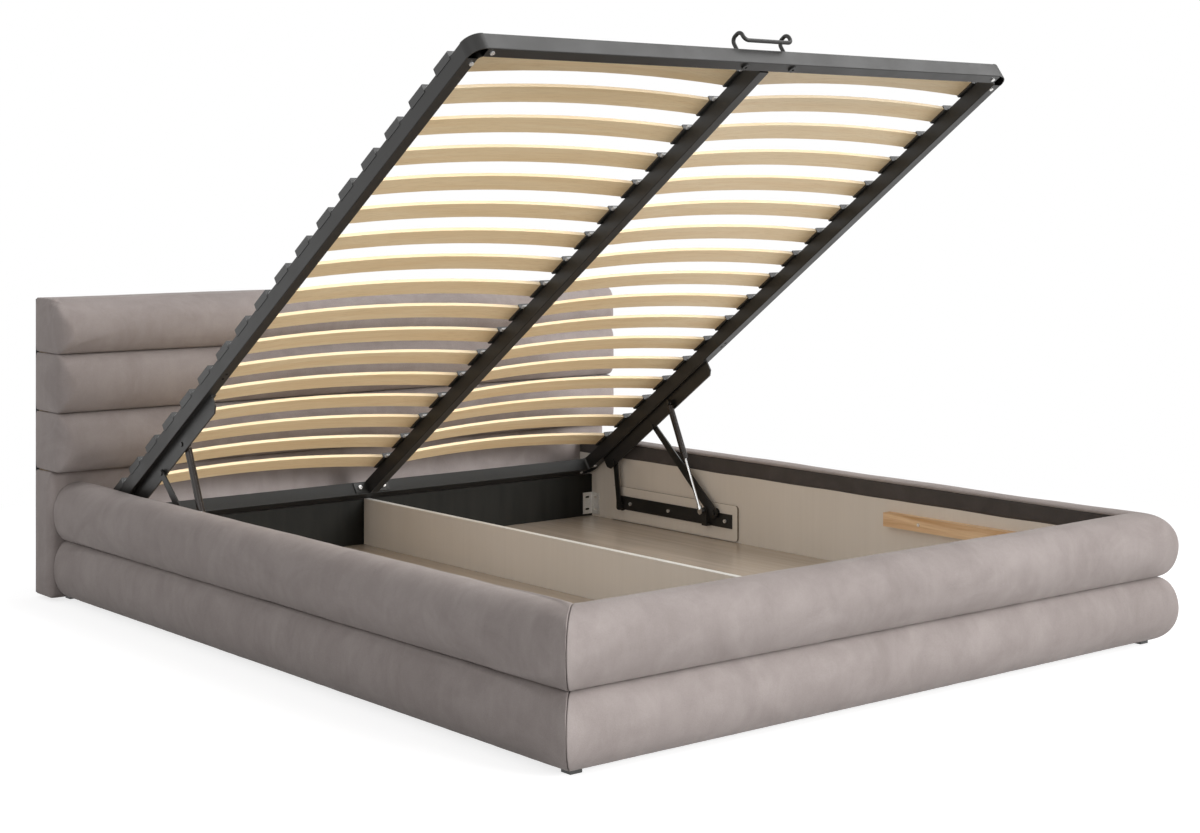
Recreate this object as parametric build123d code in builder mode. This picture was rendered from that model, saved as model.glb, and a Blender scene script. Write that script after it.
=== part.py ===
from build123d import *
import math
import os

# A double storage bed whose slatted frame swings up at the foot. Lengths are in millimetres,
# angles in degrees. X runs across the bed, -Y is the foot, +Y the head and Z is up. The origin
# is on the floor, under the middle of the bed. The frame is drawn raised.

# Slat frame, which sets the size of the box around it
frame_width = 1590
frame_length = 1956
tube_width = 28
tube_height = 38
tube_wall = 1.5
tube_edge = 2
corner_radius = 35
corner_sheet = 2

# Room around the closed frame
side_clearance = 11
foot_clearance = 28
head_clearance = 7
rest_gap = 0.5

# Padded sides and foot, each two rolls on a board
board_thickness = 18
roll_depth = 72
base_gap = 8
lower_roll_height = 145
upper_roll_height = 145
roll_hem_depth = 52
roll_groove_depth = 38
roll_crown_depth = 62
top_padding = 10
flap_thickness = 2
flap_height = 43
mitre_gap = 0.5
seat_gap = 0.3

# Headboard: a core, a flat lower cover and three channels
headboard_height = 765
headboard_overhang = 6
cover_padding = 26
core_thickness = 70
lining_thickness = 4
lining_margin = 4
end_padding = 12
cover_top = 328.7
top_channel_share = 0.3193
crown_share = 0.61
channel_bulge = 70
channel_groove = 45
crown_depth = 120
channel_corner = 38
cover_corner = 12

# Storage box inside
head_board_gap = 43
head_board_thickness = 16
head_board_height = 175
divider_thickness = 16
divider_height = 177
edge_band_thickness = 1
cleat_width = 20
cleat_height = 45
floor_thickness = 6
floor_clearance = 1
corner_leg = 36
corner_height = 64
corner_thickness = 2.5
corner_lift = 6
corner_hole_length = 16
corner_hole_width = 6
corner_hole_margin = 14

# Battens that carry the closed frame
batten_top = 214.5
batten_height = 35
batten_thickness = 25
batten_length = 720
batten_screw_count = 3
screw_radius = 4.5
screw_height = 1.5

# Glides
glide_size = 27
glide_inset = 63.5
glide_head_inset = 24

# Lift pole, measured from the closed frame's lower edge at its head end, and the lift angle
pole_setback = 76
pole_height = 88
lift_angle = 35.1

# Base of each lift mechanism, on the side board
rail_setback = 127
rail_length = 500
rail_bottom = 96
rail_height = 39
rail_sheet = 4
rail_ear_radius = 12
backing_thickness = 6
backing_corner = 10
backing_head_margin = 29
backing_foot_margin = 20
backing_low_margin = 34
backing_high_margin = 26
rail_bolt_radius = 5
rail_bolt_height = 4
rail_bolt_lift = 19
rail_bolt_insets = (65, 235, 475)

# Links, their pins and the places of their pivots
link_width = 18
front_link_foot_width = 32
link_thickness = 4
spacer_length = 8
spacer_radius = 7
pin_radius = 5
pin_head_radius = 8
pin_head_height = 3
running_clearance = 0.05
side_play = 0.2
rear_base_inset = 26
rear_base_lift = 7
rear_top_along = 128
rear_top_drop = 31
front_base_inset = 437
front_base_lift = 39
front_top_along = 341
front_top_drop = 34
link_rivet_radius = 7
link_rivet_height = 2.5

# Frame bracket, an angle under each side tube
plate_gap = 4
plate_thickness = 4
plate_depth = 42.5
plate_chamfer = 12
plate_start = 95
plate_end = 650
flange_thickness = 2.5
frame_pin_radius = 4
frame_pin_collar_radius = 6
open_pin_gap = 0.5

# Gas springs
gas_base_inset = 407
gas_base_lift = 42
gas_top_along = 458
gas_top_drop = 22
cylinder_radius = 9
rod_radius = 4
gas_gap = 2
gas_eye_radius = 9
gas_eye_width = 8
gas_collar_radius = 7
gas_pin_tail = 2.5
gas_neck_length = 12
rod_travel = 136.4
rod_end_length = 15
rod_end_radius = 7
rod_end_gap = 2
rod_overlap = 14
bore_end_gap = 1.6
stud_radius = 4
stud_plate_width = 20
stud_plate_thickness = 4
stud_plate_gap = 2
stud_gap = 0.3

# Slats and their holders
slat_count = 17
slat_head_margin = 133
slat_foot_margin = 106
slat_width = 53
slat_thickness = 8
slat_rise = 22
slat_lift = 1.5
slat_inner_end = 3
slat_outer_inset = 9
pocket_clearance = 0.5
holder_length = 57
holder_height = 14.5
holder_edge = 3
side_holder_width = 38
side_holder_lip = 1
side_holder_lip_height = 6
centre_holder_width = 48
tongue_width = 16
tongue_length = 10
tongue_height = 5

# Centre beam's end plates
head_plate_width = 110
foot_plate_width = 88
plate_height = 30
head_plate_sheet = 3
foot_plate_sheet = 4
plate_bolt_offset = 38
plate_bolt_radius = 6
plate_bolt_height = 4

# Rivets and holes in the tubes
rivet_radius = 5
rivet_height = 2.5
rivet_inset = 15
rivet_batten_gap = 2
tube_hole_radius = 3.5
tube_hole_along = 722
tube_hole_spacing = 20

# Mattress retainer, a bent rod on the foot tube
retainer_radius = 4.5
retainer_leg_offset = 70.5
retainer_top = 35
retainer_drop = 26
retainer_bend_share = 0.48
retainer_corner_share = 0.45
retainer_clearance = 3.5
retainer_bolt_radius = 9
retainer_bolt_height = 4
retainer_bolt_bore = 3
retainer_bolt_bore_depth = 2

# One overrun for all through cuts
overrun = 5

# Sizes and places that follow
side_thickness = board_thickness + roll_depth
headboard_thickness = cover_padding + core_thickness + lining_thickness
inner_width = frame_width + 2 * side_clearance
inner_length = frame_length + foot_clearance + head_clearance
outer_width = inner_width + 2 * side_thickness
total_length = side_thickness + inner_length + headboard_thickness
headboard_width = outer_width + 2 * headboard_overhang
foot_y = -total_length / 2
face_y = total_length / 2 - headboard_thickness
roll_split = base_gap + lower_roll_height
roll_top = roll_split + upper_roll_height
board_top = roll_top - top_padding
storage_foot_y = foot_y + side_thickness
storage_head_y = face_y - head_board_gap - head_board_thickness
storage_length = storage_head_y - storage_foot_y
floor_z = base_gap + cleat_height
core_front_y = face_y + cover_padding
core_rear_y = core_front_y + core_thickness
channel_front_y = face_y - channel_bulge
groove_y = channel_front_y + channel_groove
top_channel_height = (headboard_height - cover_top) * top_channel_share
channel_height = (headboard_height - cover_top - top_channel_height) / 2
crown_height = top_channel_height * crown_share
half_turn = 180
quarter_turn = 90

closed_z = batten_top + rest_gap
pole_y = face_y - head_clearance - pole_setback
pole_z = closed_z + pole_height
lift_sin = math.sin(math.radians(lift_angle))
lift_cos = math.cos(math.radians(lift_angle))
raised_y = pole_y + pole_setback * lift_cos - pole_height * lift_sin
raised_z = pole_z - pole_setback * lift_sin - pole_height * lift_cos

rail_inset = side_thickness + backing_thickness
rail_face_inset = rail_inset + rail_sheet
link_inset = rail_face_inset + spacer_length
plate_inset = link_inset + link_thickness + plate_gap
plate_face_inset = plate_inset + plate_thickness
gas_inset = plate_face_inset + gas_gap + cylinder_radius
tube_inset = side_thickness + side_clearance
rail_head_y = storage_head_y - rail_setback

sides = {"left": -1, "right": 1}

os.makedirs("parts", exist_ok=True)

# The raised frame's own plane: its origin is the middle of the lower edge of the head end,
# x runs across the bed, y from the foot to the head along the frame, and z out of its top.
lift_plane = Plane(origin=(0, raised_y, raised_z), x_dir=(1, 0, 0), z_dir=(0, lift_sin, lift_cos))


def save(piece, label):
    """Label a finished sub-part and write its file."""
    piece.part.label = label
    export_step(piece.part, f"parts/{label}.step")


def side_plane(sign, inset):
    """Upright plane along one side, an inset in from the bed's outside: x to the head, y up."""
    across = sign * (outer_width / 2 - inset)
    return Plane(origin=(across, 0, 0), x_dir=(0, 1, 0), z_dir=(1, 0, 0))


def side_section(sign):
    """Upright plane across one side at its head end: x runs in from the bed's outside, y up."""
    origin = (sign * outer_width / 2, face_y - seat_gap, 0)
    return Plane(origin=origin, x_dir=(-sign, 0, 0), z_dir=(0, sign, 0))


def foot_section():
    """Upright plane across the foot at its left end: x runs in from the bed's outside, y up."""
    return Plane(origin=(-outer_width / 2, foot_y, 0), x_dir=(0, 1, 0), z_dir=(1, 0, 0))


def mitre(sign, keep):
    """Upright plane at 45 degrees through a foot corner, half a seam gap to the kept side."""
    normal = Vector(sign * keep, keep, 0).normalized()
    corner = Vector(sign * outer_width / 2, foot_y, 0)
    return Plane(origin=corner + normal * (mitre_gap / 2), z_dir=normal)


def across_frame(along):
    """Plane square to the frame's length, measured from its head end: x across, y up."""
    origin = lift_plane.from_local_coords((0, -along, 0))
    return Plane(origin=origin, x_dir=lift_plane.x_dir, z_dir=-lift_plane.y_dir)


def beside_frame(across):
    """Plane square to the frame's width: x runs from the head end to the foot, y up."""
    origin = lift_plane.from_local_coords((across, 0, 0))
    return Plane(origin=origin, x_dir=-lift_plane.y_dir, z_dir=(-1, 0, 0))


def frame_point(along, drop):
    """Y and Z of a point on the raised frame, a drop below the tubes' lower faces."""
    point = lift_plane.from_local_coords((0, -along, -drop))
    return (point.Y, point.Z)


def plane_between(start, end, across):
    """Upright plane whose x runs from one (Y, Z) point to another."""
    run = (0, end[0] - start[0], end[1] - start[1])
    return Plane(origin=(across, *start), x_dir=run, z_dir=(1, 0, 0))


def plane_along(start, end, across, distance):
    """Plane square to the line between two (Y, Z) points, a distance from the first."""
    run = Vector(0, end[0] - start[0], end[1] - start[1]).normalized()
    return Plane(origin=Vector(across, *start) + run * distance, x_dir=(1, 0, 0), z_dir=run)


def roll_front(bottom, top, low_depth, high_depth):
    """Outer line of a roll, a quarter ellipse below its middle and another above."""
    middle = (bottom + top) / 2
    low_height = middle - bottom
    high_height = top - middle
    EllipticalCenterArc((low_depth, middle), low_depth, low_height, half_turn, arc_size=quarter_turn)
    EllipticalCenterArc((high_depth, middle), high_depth, high_height, quarter_turn, arc_size=quarter_turn)


def lower_roll_outline():
    """Section of a lower roll, flat against its board and under the upper roll."""
    roll_front(base_gap, roll_split, roll_hem_depth, roll_groove_depth)
    Polyline(
        (roll_hem_depth, base_gap),
        (roll_depth, base_gap),
        (roll_depth, roll_split),
        (roll_groove_depth, roll_split),
    )


def upper_roll_outline():
    """Section of an upper roll, which runs on over the top of its board."""
    inner_edge = side_thickness + flap_thickness
    shoulder = inner_edge - roll_crown_depth
    roll_front(roll_split, roll_top, roll_groove_depth, roll_crown_depth)
    Polyline(
        (roll_groove_depth, roll_split),
        (roll_depth, roll_split),
        (roll_depth, board_top),
        (inner_edge, board_top),
    )
    EllipticalCenterArc((roll_crown_depth, board_top), shoulder, top_padding, arc_size=quarter_turn)


def tube_section(width, height):
    """Hollow section of a tube with rounded edges."""
    RectangleRounded(width, height, tube_edge)
    inner_edge = max(tube_edge - tube_wall, tube_edge / 4)
    RectangleRounded(width - 2 * tube_wall, height - 2 * tube_wall, inner_edge, mode=Mode.SUBTRACT)


def slat_outline(sign, clearance):
    """Section of a bowed slat in the plane across the frame, with a clearance around it."""
    start = sign * (slat_inner_end - clearance)
    end = sign * (frame_width / 2 - slat_outer_inset + clearance)
    middle = (start + end) / 2
    low = tube_height + slat_lift - clearance
    high = tube_height + slat_lift + slat_thickness + clearance
    ThreePointArc((start, low), (middle, low + slat_rise), (end, low))
    Line((end, low), (end, high))
    ThreePointArc((end, high), (middle, high + slat_rise), (start, high))
    Line((start, high), (start, low))


# Headboard core, the board inside the padding
with BuildPart() as headboard_core:
    core_height = headboard_height - end_padding - base_gap
    with Locations((0, core_front_y, base_gap)):
        Box(
            headboard_width - 2 * end_padding,
            core_thickness,
            core_height,
            align=(Align.CENTER, Align.MIN, Align.MIN),
        )
save(headboard_core, "headboard_core")

# Flat lower cover, wrapped round the core's ends
with BuildPart() as headboard_lower_cover:
    with BuildSketch(Plane.XY.offset(base_gap)) as cover_plan:
        with Locations((0, face_y)):
            Rectangle(headboard_width, core_rear_y - face_y, align=(Align.CENTER, Align.MIN))
        fillet(cover_plan.vertices().group_by(Axis.Y)[0], radius=cover_corner)
    extrude(amount=cover_top - base_gap)
    add(headboard_core.part, mode=Mode.SUBTRACT)
save(headboard_lower_cover, "headboard_lower_cover")

# Lower two channels, half ellipses in section, with rounded ends
for channel_name, channel_index in (("bottom", 0), ("middle", 1)):
    channel_low = cover_top + channel_index * channel_height
    channel_high = channel_low + channel_height
    with BuildPart() as channel:
        with BuildSketch(Plane.YZ):
            with BuildLine():
                EllipticalCenterArc(
                    (groove_y, (channel_low + channel_high) / 2),
                    channel_groove,
                    channel_height / 2,
                    quarter_turn,
                    arc_size=half_turn,
                )
                Polyline(
                    (groove_y, channel_low),
                    (core_rear_y, channel_low),
                    (core_rear_y, channel_high),
                    (groove_y, channel_high),
                )
            make_face()
        extrude(amount=headboard_width / 2, both=True)
        with BuildSketch(Plane.XY.offset(channel_low)) as channel_plan:
            with Locations((0, channel_front_y)):
                Rectangle(
                    headboard_width, core_rear_y - channel_front_y, align=(Align.CENTER, Align.MIN)
                )
            fillet(channel_plan.vertices().group_by(Axis.Y)[0], radius=channel_corner)
        extrude(amount=channel_height, mode=Mode.INTERSECT)
        add(headboard_core.part, mode=Mode.SUBTRACT)
    save(channel, f"headboard_channel_{channel_name}")

# Top channel, which rolls over the core's top edge
with BuildPart() as headboard_channel_top:
    crown_z = headboard_height - crown_height
    channel_low = headboard_height - top_channel_height
    with BuildSketch(Plane.YZ):
        with BuildLine():
            EllipticalCenterArc(
                (groove_y, crown_z),
                channel_groove,
                crown_z - channel_low,
                half_turn,
                arc_size=quarter_turn,
            )
            EllipticalCenterArc(
                (channel_front_y + crown_depth, crown_z),
                crown_depth,
                crown_height,
                quarter_turn,
                arc_size=quarter_turn,
            )
            Polyline(
                (groove_y, channel_low),
                (core_rear_y, channel_low),
                (core_rear_y, headboard_height),
                (channel_front_y + crown_depth, headboard_height),
            )
        make_face()
    extrude(amount=headboard_width / 2, both=True)
    with BuildSketch(Plane.XY.offset(channel_low)) as channel_plan:
        with Locations((0, channel_front_y)):
            Rectangle(headboard_width, core_rear_y - channel_front_y, align=(Align.CENTER, Align.MIN))
        fillet(channel_plan.vertices().group_by(Axis.Y)[0], radius=channel_corner)
    extrude(amount=top_channel_height, mode=Mode.INTERSECT)
    add(headboard_core.part, mode=Mode.SUBTRACT)
save(headboard_channel_top, "headboard_channel_top")

# Lining over the headboard's back
with BuildPart() as headboard_back_lining:
    with Locations((0, core_rear_y, base_gap + lining_margin)):
        Box(
            headboard_width - 2 * lining_margin,
            lining_thickness,
            headboard_height - base_gap - 2 * lining_margin,
            align=(Align.CENTER, Align.MIN, Align.MIN),
        )
save(headboard_back_lining, "headboard_back_lining")

# Side boards, rolls and flaps; the rolls meet the foot's rolls in a mitre
for side, sign in sides.items():
    with BuildPart() as side_board:
        with BuildSketch(side_section(sign)):
            with Locations((roll_depth, base_gap)):
                Rectangle(board_thickness, board_top - base_gap, align=(Align.MIN, Align.MIN))
        extrude(amount=-sign * (face_y - seat_gap - foot_y - roll_depth))
    save(side_board, f"{side}_side_board")

    with BuildPart() as side_lower_roll:
        with BuildSketch(side_section(sign)):
            with BuildLine():
                lower_roll_outline()
            make_face()
        extrude(amount=-sign * (face_y - seat_gap - foot_y))
        split(bisect_by=mitre(sign, 1), keep=Keep.TOP)
    save(side_lower_roll, f"{side}_lower_roll")

    with BuildPart() as side_upper_roll:
        with BuildSketch(side_section(sign)):
            with BuildLine():
                upper_roll_outline()
            make_face()
        extrude(amount=-sign * (face_y - seat_gap - foot_y))
        split(bisect_by=mitre(sign, 1), keep=Keep.TOP)
    save(side_upper_roll, f"{side}_upper_roll")

    with BuildPart() as side_flap:
        with BuildSketch(side_section(sign)):
            with Locations((side_thickness, board_top)):
                Rectangle(flap_thickness, flap_height, align=(Align.MIN, Align.MAX))
        extrude(amount=-sign * (face_y - seat_gap - storage_foot_y - flap_thickness))
    save(side_flap, f"{side}_inner_flap")

# Foot board, rolls and flap
with BuildPart() as foot_board:
    with Locations((0, foot_y + roll_depth, base_gap)):
        Box(
            inner_width,
            board_thickness,
            board_top - base_gap,
            align=(Align.CENTER, Align.MIN, Align.MIN),
        )
save(foot_board, "foot_board")

with BuildPart() as foot_lower_roll:
    with BuildSketch(foot_section()):
        with BuildLine():
            lower_roll_outline()
        make_face()
    extrude(amount=outer_width)
    for sign in sides.values():
        split(bisect_by=mitre(sign, -1), keep=Keep.TOP)
save(foot_lower_roll, "foot_lower_roll")

with BuildPart() as foot_upper_roll:
    with BuildSketch(foot_section()):
        with BuildLine():
            upper_roll_outline()
        make_face()
    extrude(amount=outer_width)
    for sign in sides.values():
        split(bisect_by=mitre(sign, -1), keep=Keep.TOP)
save(foot_upper_roll, "foot_upper_roll")

with BuildPart() as foot_inner_flap:
    with Locations((0, storage_foot_y, board_top)):
        Box(inner_width, flap_thickness, flap_height, align=(Align.CENTER, Align.MIN, Align.MAX))
save(foot_inner_flap, "foot_inner_flap")

# Inner head board of the storage box
with BuildPart() as inner_head_board:
    with Locations((0, storage_head_y, base_gap)):
        Box(
            inner_width,
            head_board_thickness,
            head_board_height,
            align=(Align.CENTER, Align.MIN, Align.MIN),
        )
save(inner_head_board, "inner_head_board")

# Centre divider and the band on its top edge
divider_core_height = divider_height - edge_band_thickness
with BuildPart() as centre_divider:
    with Locations((0, storage_foot_y, base_gap)):
        Box(
            divider_thickness,
            storage_length,
            divider_core_height,
            align=(Align.CENTER, Align.MIN, Align.MIN),
        )
save(centre_divider, "centre_divider")

with BuildPart() as divider_edge_band:
    with Locations((0, storage_foot_y, base_gap + divider_core_height)):
        Box(
            divider_thickness,
            storage_length,
            edge_band_thickness,
            align=(Align.CENTER, Align.MIN, Align.MIN),
        )
save(divider_edge_band, "divider_edge_band")

# Floor panels, which lie on the cleats
bay_width = (inner_width - divider_thickness) / 2
bay_middle = (inner_width + divider_thickness) / 4
for side, sign in sides.items():
    with BuildPart() as floor_panel:
        with Locations((sign * bay_middle, storage_foot_y + floor_clearance, floor_z)):
            Box(
                bay_width - 2 * floor_clearance,
                storage_length - 2 * floor_clearance,
                floor_thickness,
                align=(Align.CENTER, Align.MIN, Align.MIN),
            )
    save(floor_panel, f"floor_panel_{side}")

# Floor cleats: two long ones and two short ones round each bay
with BuildPart() as floor_cleats:
    for sign in sides.values():
        for across in (divider_thickness / 2, inner_width / 2 - cleat_width):
            with Locations((sign * (across + cleat_width / 2), storage_foot_y, base_gap)):
                Box(
                    cleat_width,
                    storage_length,
                    cleat_height,
                    align=(Align.CENTER, Align.MIN, Align.MIN),
                )
        for along in (storage_foot_y, storage_head_y - cleat_width):
            with Locations((sign * bay_middle, along, base_gap)):
                Box(
                    bay_width - 2 * cleat_width - 2 * floor_clearance,
                    cleat_width,
                    cleat_height,
                    align=(Align.CENTER, Align.MIN, Align.MIN),
                )
save(floor_cleats, "floor_cleats")

# Corner brackets in the four inner corners, with two slots in each leg
with BuildPart() as corner_brackets:
    corner_z = floor_z + floor_thickness + corner_lift
    hole_heights = (corner_z + corner_hole_margin, corner_z + corner_height - corner_hole_margin)
    hole_inset = (corner_leg + corner_thickness) / 2
    ends = ((storage_foot_y, 1), (storage_head_y, -1))
    with BuildSketch(Plane.XY.offset(corner_z)):
        for sign in sides.values():
            for end_y, inward in ends:
                corner_x = sign * inner_width / 2
                leg_middle = corner_x - sign * corner_leg / 2
                sheet_middle = corner_x - sign * corner_thickness / 2
                with Locations((leg_middle, end_y + inward * corner_thickness / 2)):
                    Rectangle(corner_leg, corner_thickness)
                with Locations((sheet_middle, end_y + inward * corner_leg / 2)):
                    Rectangle(corner_thickness, corner_leg)
    extrude(amount=corner_height)
    with BuildSketch(Plane.YZ):
        for hole_z in hole_heights:
            for end_y, inward in ends:
                with Locations((end_y + inward * hole_inset, hole_z)):
                    SlotOverall(corner_hole_length, corner_hole_width)
    extrude(amount=inner_width / 2 + overrun, both=True, mode=Mode.SUBTRACT)
    with BuildSketch(Plane.XZ):
        for hole_z in hole_heights:
            for sign in sides.values():
                with Locations((sign * (inner_width / 2 - hole_inset), hole_z)):
                    SlotOverall(corner_hole_length, corner_hole_width)
    extrude(amount=total_length / 2, both=True, mode=Mode.SUBTRACT)
save(corner_brackets, "corner_brackets")

# Battens on the side boards, and their screws
with BuildPart() as frame_battens:
    for sign in sides.values():
        batten_x = sign * (inner_width - batten_thickness) / 2
        with Locations((batten_x, storage_foot_y, batten_top)):
            Box(
                batten_thickness,
                batten_length,
                batten_height,
                align=(Align.CENTER, Align.MIN, Align.MAX),
            )
save(frame_battens, "frame_battens")

with BuildPart() as batten_screws:
    for sign in sides.values():
        with BuildSketch(side_plane(sign, side_thickness + batten_thickness)):
            for index in range(batten_screw_count):
                screw_y = storage_foot_y + batten_length * (index + 0.5) / batten_screw_count
                with Locations((screw_y, batten_top - batten_height / 2)):
                    Circle(screw_radius)
        extrude(amount=-sign * screw_height)
save(batten_screws, "batten_screws")

# Glides under the foot corners, the headboard's ends and the divider
with BuildPart() as glides:
    with BuildSketch(Plane.XY):
        glide_x = outer_width / 2 - glide_inset
        third = storage_length / 3
        for sign in sides.values():
            for glide_y in (foot_y + glide_inset, face_y + glide_head_inset):
                with Locations((sign * glide_x, glide_y)):
                    Rectangle(glide_size, glide_size)
        with Locations((0, storage_foot_y + third), (0, storage_head_y - third)):
            Rectangle(glide_size, glide_size)
    extrude(amount=base_gap)
save(glides, "glides")

# Pivots of each mechanism on its base rail, as (Y, Z) points
rear_base = (rail_head_y - rear_base_inset, rail_bottom + rear_base_lift)
front_base = (rail_head_y - front_base_inset, rail_bottom + front_base_lift)
gas_base = (rail_head_y - gas_base_inset, rail_bottom + gas_base_lift)

# Backing boards of the mechanisms
with BuildPart() as mechanism_backing_boards:
    backing_length = rail_length + backing_head_margin + backing_foot_margin
    backing_height = rail_height + backing_low_margin + backing_high_margin
    backing_y = rail_head_y + backing_head_margin - backing_length / 2
    backing_z = rail_bottom - backing_low_margin + backing_height / 2
    for sign in sides.values():
        with BuildSketch(side_plane(sign, side_thickness)):
            with Locations((backing_y, backing_z)):
                RectangleRounded(backing_length, backing_height, backing_corner)
        extrude(amount=-sign * backing_thickness)
save(mechanism_backing_boards, "mechanism_backing_boards")

# Base rails, each with an ear at both link pivots and the gas spring's stud on a small angle
stud_plate_inset = link_inset + link_thickness + stud_plate_gap
stud_plate_face_inset = stud_plate_inset + stud_plate_thickness
stud_end_inset = gas_inset - cylinder_radius - stud_gap
for side, sign in sides.items():
    with BuildPart() as mechanism_rail:
        with BuildSketch(side_plane(sign, rail_inset)):
            with Locations((rail_head_y, rail_bottom)):
                Rectangle(rail_length, rail_height, align=(Align.MAX, Align.MIN))
            with Locations(rear_base, front_base):
                Circle(rail_ear_radius)
        extrude(amount=-sign * rail_sheet)
        with BuildSketch(side_plane(sign, rail_face_inset)):
            with Locations((gas_base[0], rail_bottom)):
                Rectangle(stud_plate_width, stud_plate_thickness, align=(Align.CENTER, Align.MIN))
        extrude(amount=-sign * (stud_plate_face_inset - rail_face_inset))
        with BuildSketch(side_plane(sign, stud_plate_inset)):
            with Locations((gas_base[0], rail_bottom)):
                Rectangle(stud_plate_width, gas_base_lift, align=(Align.CENTER, Align.MIN))
            with Locations(gas_base):
                Circle(stud_plate_width / 2)
        extrude(amount=-sign * stud_plate_thickness)
        with BuildSketch(side_plane(sign, stud_plate_face_inset)):
            with Locations(gas_base):
                Circle(stud_radius)
        extrude(amount=-sign * (stud_end_inset - stud_plate_face_inset))
    save(mechanism_rail, f"{side}_mechanism_rail")

with BuildPart() as rail_bolts:
    for sign in sides.values():
        with BuildSketch(side_plane(sign, rail_face_inset)):
            for inset in rail_bolt_insets:
                with Locations((rail_head_y - inset, rail_bottom + rail_bolt_lift)):
                    Circle(rail_bolt_radius)
        extrude(amount=-sign * rail_bolt_height)
save(rail_bolts, "rail_bolts")

# Pins on the base rails that the links turn on, each with a spacer behind the link
with BuildPart() as base_pivot_pins:
    pin_length = spacer_length + link_thickness + side_play + pin_head_height
    for sign in sides.values():
        with BuildSketch(side_plane(sign, rail_face_inset)):
            with Locations(rear_base, front_base):
                Circle(pin_radius)
        extrude(amount=-sign * pin_length)
        with BuildSketch(side_plane(sign, rail_face_inset)):
            with Locations(rear_base, front_base):
                Circle(spacer_radius)
        extrude(amount=-sign * (spacer_length - side_play))
        with BuildSketch(side_plane(sign, link_inset + link_thickness + side_play)):
            with Locations(rear_base, front_base):
                Circle(pin_head_radius)
        extrude(amount=-sign * pin_head_height)
save(base_pivot_pins, "base_pivot_pins")

# Links, which turn on the base pins and end in a rivet beside the frame bracket
rear_top = frame_point(rear_top_along, rear_top_drop)
front_top = frame_point(front_top_along, front_top_drop)
for side, sign in sides.items():
    for place, base, top, foot_width in (
        ("rear", rear_base, rear_top, link_width),
        ("front", front_base, front_top, front_link_foot_width),
    ):
        reach = math.dist(base, top)
        with BuildPart() as link:
            link_x = sign * (outer_width / 2 - link_inset)
            with BuildSketch(plane_between(base, top, link_x)):
                Circle(foot_width / 2)
                with Locations((reach, 0)):
                    Circle(link_width / 2)
                make_hull()
                Circle(pin_radius + running_clearance, mode=Mode.SUBTRACT)
            extrude(amount=-sign * link_thickness)
            with BuildSketch(plane_between(base, top, link_x)):
                with Locations((reach, 0)):
                    Circle(link_rivet_radius)
            extrude(amount=sign * link_rivet_height)
        save(link, f"{side}_{place}_link")

# Side tubes of the frame, with two small holes in the lower face
for side, sign in sides.items():
    tube_x = sign * (frame_width - tube_width) / 2
    with BuildPart() as side_tube:
        with BuildSketch(across_frame(corner_radius)):
            with Locations((tube_x, tube_height / 2)):
                tube_section(tube_width, tube_height)
        extrude(amount=frame_length - 2 * corner_radius)
        with BuildSketch(lift_plane):
            with Locations((tube_x, -tube_hole_along), (tube_x, -tube_hole_along - tube_hole_spacing)):
                Circle(tube_hole_radius)
        extrude(amount=2 * tube_wall, mode=Mode.SUBTRACT)
    save(side_tube, f"{side}_side_tube")

# Head and foot tubes
for end, along in (("head", tube_width / 2), ("foot", frame_length - tube_width / 2)):
    with BuildPart() as end_tube:
        with BuildSketch(beside_frame(0)):
            with Locations((along, tube_height / 2)):
                tube_section(tube_width, tube_height)
        extrude(amount=frame_width / 2 - corner_radius, both=True)
    save(end_tube, f"{end}_tube")

# Bent corner pieces of sheet, open underneath
with BuildPart() as frame_corner_pieces:
    corner_inner = corner_radius - tube_width
    corner_places = [
        (sign, along, toward_foot)
        for sign in sides.values()
        for along, toward_foot in ((corner_radius, -1), (frame_length - corner_radius, 1))
    ]
    for sheet, mode in ((0, Mode.ADD), (corner_sheet, Mode.SUBTRACT)):
        for sign, along, toward_foot in corner_places:
            corner_x = sign * (frame_width / 2 - corner_radius)
            with BuildSketch(lift_plane):
                with Locations((corner_x, -along)):
                    Circle(corner_radius - sheet)
                    Circle(corner_inner + sheet, mode=Mode.SUBTRACT)
                quarter_x = corner_x + sign * corner_radius / 2
                quarter_y = -along - toward_foot * corner_radius / 2
                with Locations((quarter_x, quarter_y)):
                    Rectangle(corner_radius, corner_radius, mode=Mode.INTERSECT)
            extrude(amount=tube_height - sheet, mode=mode)
save(frame_corner_pieces, "frame_corner_pieces")

# Centre beam, the plates at its ends and the bolts of the head plate
with BuildPart() as centre_beam:
    beam_start = tube_width + head_plate_sheet
    beam_end = frame_length - tube_width - foot_plate_sheet
    with BuildSketch(across_frame(beam_start)):
        with Locations((0, tube_height / 2)):
            tube_section(tube_width, tube_height)
    extrude(amount=beam_end - beam_start)
save(centre_beam, "centre_beam")

with BuildPart() as beam_end_plates:
    for along, width, sheet in (
        (tube_width, head_plate_width, head_plate_sheet),
        (beam_end, foot_plate_width, foot_plate_sheet),
    ):
        with BuildSketch(across_frame(along)):
            with Locations((0, tube_height / 2)):
                Rectangle(width, plate_height)
        extrude(amount=sheet)
save(beam_end_plates, "beam_end_plates")

with BuildPart() as plate_bolts:
    with BuildSketch(across_frame(beam_start)):
        with Locations((-plate_bolt_offset, tube_height / 2), (plate_bolt_offset, tube_height / 2)):
            Circle(plate_bolt_radius)
    extrude(amount=plate_bolt_height)
save(plate_bolts, "plate_bolts")

# Two columns of bowed slats
slat_pitch = (frame_length - slat_head_margin - slat_foot_margin) / (slat_count - 1)
slat_middles = [slat_head_margin + index * slat_pitch for index in range(slat_count)]
for side, sign in sides.items():
    with BuildPart() as slats:
        for along in slat_middles:
            with BuildSketch(across_frame(along - slat_width / 2)):
                with BuildLine():
                    slat_outline(sign, 0)
                make_face()
        extrude(amount=slat_width)
    save(slats, f"slats_{side}")

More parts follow.
